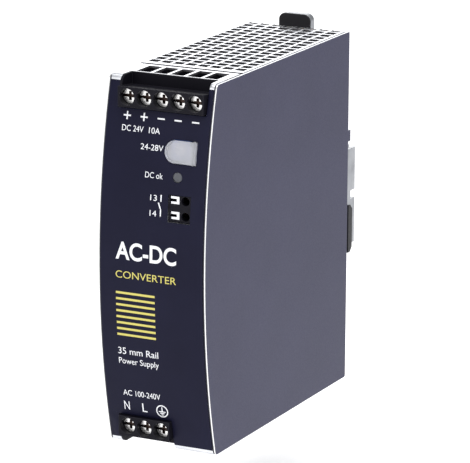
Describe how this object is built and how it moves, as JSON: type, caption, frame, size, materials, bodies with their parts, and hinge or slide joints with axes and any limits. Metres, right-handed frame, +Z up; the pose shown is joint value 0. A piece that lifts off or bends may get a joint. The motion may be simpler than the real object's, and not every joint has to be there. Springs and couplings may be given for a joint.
{
  "type": "din rail power supply",
  "caption": "Slim DIN-rail power supply with a curved dark front, screw terminals above and below, a perforated top and bottom, and a sprung rail latch.",
  "frame": {"origin": "rail datum: the centre of the 35 mm rail slot, on the front plane of the rail's lips", "axes": "+X right seen from the front, front looks along -Y, rail lies behind along +Y, +Z up"},
  "size_m": [0.039, 0.1205, 0.1278],
  "materials": {
    "shell_coating": "fine matt coating, dark blue-grey",
    "zinc_sheet": "zinc-plated sheet, bright cut edges",
    "front_foil": "dark navy front foil with pale prints",
    "terminal_plastic": "moulded black",
    "screw_nickel": "bright nickel plate",
    "cage_zinc": "zinc plate",
    "contact_copper": "tinned copper alloy",
    "spring_steel": "bright spring steel",
    "relay_case": "moulded dark grey",
    "trimmer_blue": "moulded blue",
    "rotor_white": "moulded white",
    "clear_flap": "milky clear",
    "light_guide": "smoke grey, clear",
    "led": "tinted clear",
    "circuit_board": "green solder mask",
    "insulating_film": "thin film",
    "post_brass": "turned",
    "fastener_steel": "zinc plate",
    "ferrite": "sintered, dark grey",
    "winding_tape": "yellow polyester tape",
    "magnet_wire": "enamelled copper wire",
    "capacitor_sleeve": "printed sleeve, no marks",
    "film_capacitor": "moulded yellow box",
    "fuse_body": "glazed tube",
    "varistor_coat": "blue dipped coat",
    "aluminium_plate": "rolled",
    "transistor_case": "moulded black",
    "foot_zinc": "zinc plate",
    "latch_plastic": "moulded black"
  },
  "bodies": {
    "housing": {"body_shell": "shell_coating", "vent_frame": "zinc_sheet", "front_panel": "zinc_sheet", "wire_flanges": "zinc_sheet", "front_foil": "front_foil", "output_block": "terminal_plastic", "input_block": "terminal_plastic", "output_bars": "contact_copper", "input_bars": "contact_copper", "signal_block": "terminal_plastic", "signal_contacts": "contact_copper", "signal_relay": "relay_case", "trimmer_body": "trimmer_blue", "light_guide": "light_guide", "led": "led", "control_pcb": "circuit_board", "front_pcb": "circuit_board", "main_pcb": "circuit_board", "insulating_sheet": "insulating_film", "board_posts": "post_brass", "board_screws": "fastener_steel", "transformer_core": "ferrite", "transformer_winding": "winding_tape", "pfc_choke": "magnet_wire", "output_choke": "magnet_wire", "emi_choke": "magnet_wire", "bulk_capacitors": "capacitor_sleeve", "output_capacitors": "capacitor_sleeve", "filter_capacitor": "film_capacitor", "fuse": "fuse_body", "varistor": "varistor_coat", "primary_heat_plate": "aluminium_plate", "secondary_heat_plate": "aluminium_plate", "power_transistors": "transistor_case", "rail_foot": "foot_zinc", "foot_rivets": "fastener_steel", "latch_springs": "spring_steel"},
    "latch": {"latch_strap": "foot_zinc", "latch_pad": "latch_plastic", "latch_carrier": "latch_plastic"},
    "flap": {"trimmer_flap": "clear_flap"},
    "trimmer": {"trimmer_rotor": "rotor_white"},
    "output_screw_1_body": {"output_screw_1": "screw_nickel"},
    "output_cage_1_body": {"output_cage_1": "cage_zinc"},
    "output_screw_2_body": {"output_screw_2": "screw_nickel"},
    "output_cage_2_body": {"output_cage_2": "cage_zinc"},
    "output_screw_3_body": {"output_screw_3": "screw_nickel"},
    "output_cage_3_body": {"output_cage_3": "cage_zinc"},
    "output_screw_4_body": {"output_screw_4": "screw_nickel"},
    "output_cage_4_body": {"output_cage_4": "cage_zinc"},
    "output_screw_5_body": {"output_screw_5": "screw_nickel"},
    "output_cage_5_body": {"output_cage_5": "cage_zinc"},
    "input_screw_1_body": {"input_screw_1": "screw_nickel"},
    "input_cage_1_body": {"input_cage_1": "cage_zinc"},
    "input_screw_2_body": {"input_screw_2": "screw_nickel"},
    "input_cage_2_body": {"input_cage_2": "cage_zinc"},
    "input_screw_3_body": {"input_screw_3": "screw_nickel"},
    "input_cage_3_body": {"input_cage_3": "cage_zinc"},
    "signal_spring_1_body": {"signal_spring_1": "spring_steel"},
    "signal_spring_2_body": {"signal_spring_2": "spring_steel"}
  },
  "joints": [
    {"name": "latch_press", "type": "slide", "parent": "housing", "child": "latch", "axis": [0, 0, -1], "range_m": [0, 0.004], "stiffness_N_per_m": 1500, "springref_m": -0.003, "deforming": ["latch_springs"]},
    {"name": "flap_hinge", "type": "hinge", "parent": "housing", "child": "flap", "pos_m": [0.0134, -0.11305, 0.03909], "axis": [0, 0.1654, 0.9862], "range_deg": [0, 100]},
    {"name": "trimmer_turn", "type": "hinge", "parent": "housing", "child": "trimmer", "pos_m": [0.008, -0.108, 0.0395], "axis": [0, 1, 0], "range_deg": [-120, 120]},
    {"name": "output_screw_1_turn", "type": "hinge", "parent": "housing", "child": "output_screw_1_body", "pos_m": [-0.01095, -0.105, 0.0552], "axis": [0, 1, 0], "range_deg": [0, 2304]},
    {"name": "output_cage_1_rise", "type": "slide", "parent": "housing", "child": "output_cage_1_body", "axis": [0, -1, 0], "range_m": [0, 0.0032]},
    {"name": "output_screw_2_turn", "type": "hinge", "parent": "housing", "child": "output_screw_2_body", "pos_m": [-0.00485, -0.105, 0.0552], "axis": [0, 1, 0], "range_deg": [0, 2304]},
    {"name": "output_cage_2_rise", "type": "slide", "parent": "housing", "child": "output_cage_2_body", "axis": [0, -1, 0], "range_m": [0, 0.0032]},
    {"name": "output_screw_3_turn", "type": "hinge", "parent": "housing", "child": "output_screw_3_body", "pos_m": [0.00125, -0.105, 0.0552], "axis": [0, 1, 0], "range_deg": [0, 2304]},
    {"name": "output_cage_3_rise", "type": "slide", "parent": "housing", "child": "output_cage_3_body", "axis": [0, -1, 0], "range_m": [0, 0.0032]},
    {"name": "output_screw_4_turn", "type": "hinge", "parent": "housing", "child": "output_screw_4_body", "pos_m": [0.00735, -0.105, 0.0552], "axis": [0, 1, 0], "range_deg": [0, 2304]},
    {"name": "output_cage_4_rise", "type": "slide", "parent": "housing", "child": "output_cage_4_body", "axis": [0, -1, 0], "range_m": [0, 0.0032]},
    {"name": "output_screw_5_turn", "type": "hinge", "parent": "housing", "child": "output_screw_5_body", "pos_m": [0.01345, -0.105, 0.0552], "axis": [0, 1, 0], "range_deg": [0, 2304]},
    {"name": "output_cage_5_rise", "type": "slide", "parent": "housing", "child": "output_cage_5_body", "axis": [0, -1, 0], "range_m": [0, 0.0032]},
    {"name": "input_screw_1_turn", "type": "hinge", "parent": "housing", "child": "input_screw_1_body", "pos_m": [-0.01095, -0.105, -0.0555], "axis": [0, 1, 0], "range_deg": [0, 2304]},
    {"name": "input_cage_1_rise", "type": "slide", "parent": "housing", "child": "input_cage_1_body", "axis": [0, -1, 0], "range_m": [0, 0.0032]},
    {"name": "input_screw_2_turn", "type": "hinge", "parent": "housing", "child": "input_screw_2_body", "pos_m": [-0.00485, -0.105, -0.0555], "axis": [0, 1, 0], "range_deg": [0, 2304]},
    {"name": "input_cage_2_rise", "type": "slide", "parent": "housing", "child": "input_cage_2_body", "axis": [0, -1, 0], "range_m": [0, 0.0032]},
    {"name": "input_screw_3_turn", "type": "hinge", "parent": "housing", "child": "input_screw_3_body", "pos_m": [0.00125, -0.105, -0.0555], "axis": [0, 1, 0], "range_deg": [0, 2304]},
    {"name": "input_cage_3_rise", "type": "slide", "parent": "housing", "child": "input_cage_3_body", "axis": [0, -1, 0], "range_m": [0, 0.0032]},
    {"name": "signal_spring_1_press", "type": "slide", "parent": "housing", "child": "signal_spring_1_body", "axis": [0, 1, 0], "range_m": [0, 0.001], "stiffness_N_per_m": 800, "springref_m": -0.0002},
    {"name": "signal_spring_2_press", "type": "slide", "parent": "housing", "child": "signal_spring_2_body", "axis": [0, 1, 0], "range_m": [0, 0.001], "stiffness_N_per_m": 800, "springref_m": -0.0002}
  ],
  "couplings": [
    {"joint": "output_screw_1_turn", "follows": "output_cage_1_rise", "rad_per_m": 12566},
    {"joint": "output_screw_2_turn", "follows": "output_cage_2_rise", "rad_per_m": 12566},
    {"joint": "output_screw_3_turn", "follows": "output_cage_3_rise", "rad_per_m": 12566},
    {"joint": "output_screw_4_turn", "follows": "output_cage_4_rise", "rad_per_m": 12566},
    {"joint": "output_screw_5_turn", "follows": "output_cage_5_rise", "rad_per_m": 12566},
    {"joint": "input_screw_1_turn", "follows": "input_cage_1_rise", "rad_per_m": 12566},
    {"joint": "input_screw_2_turn", "follows": "input_cage_2_rise", "rad_per_m": 12566},
    {"joint": "input_screw_3_turn", "follows": "input_cage_3_rise", "rad_per_m": 12566}
  ]
}
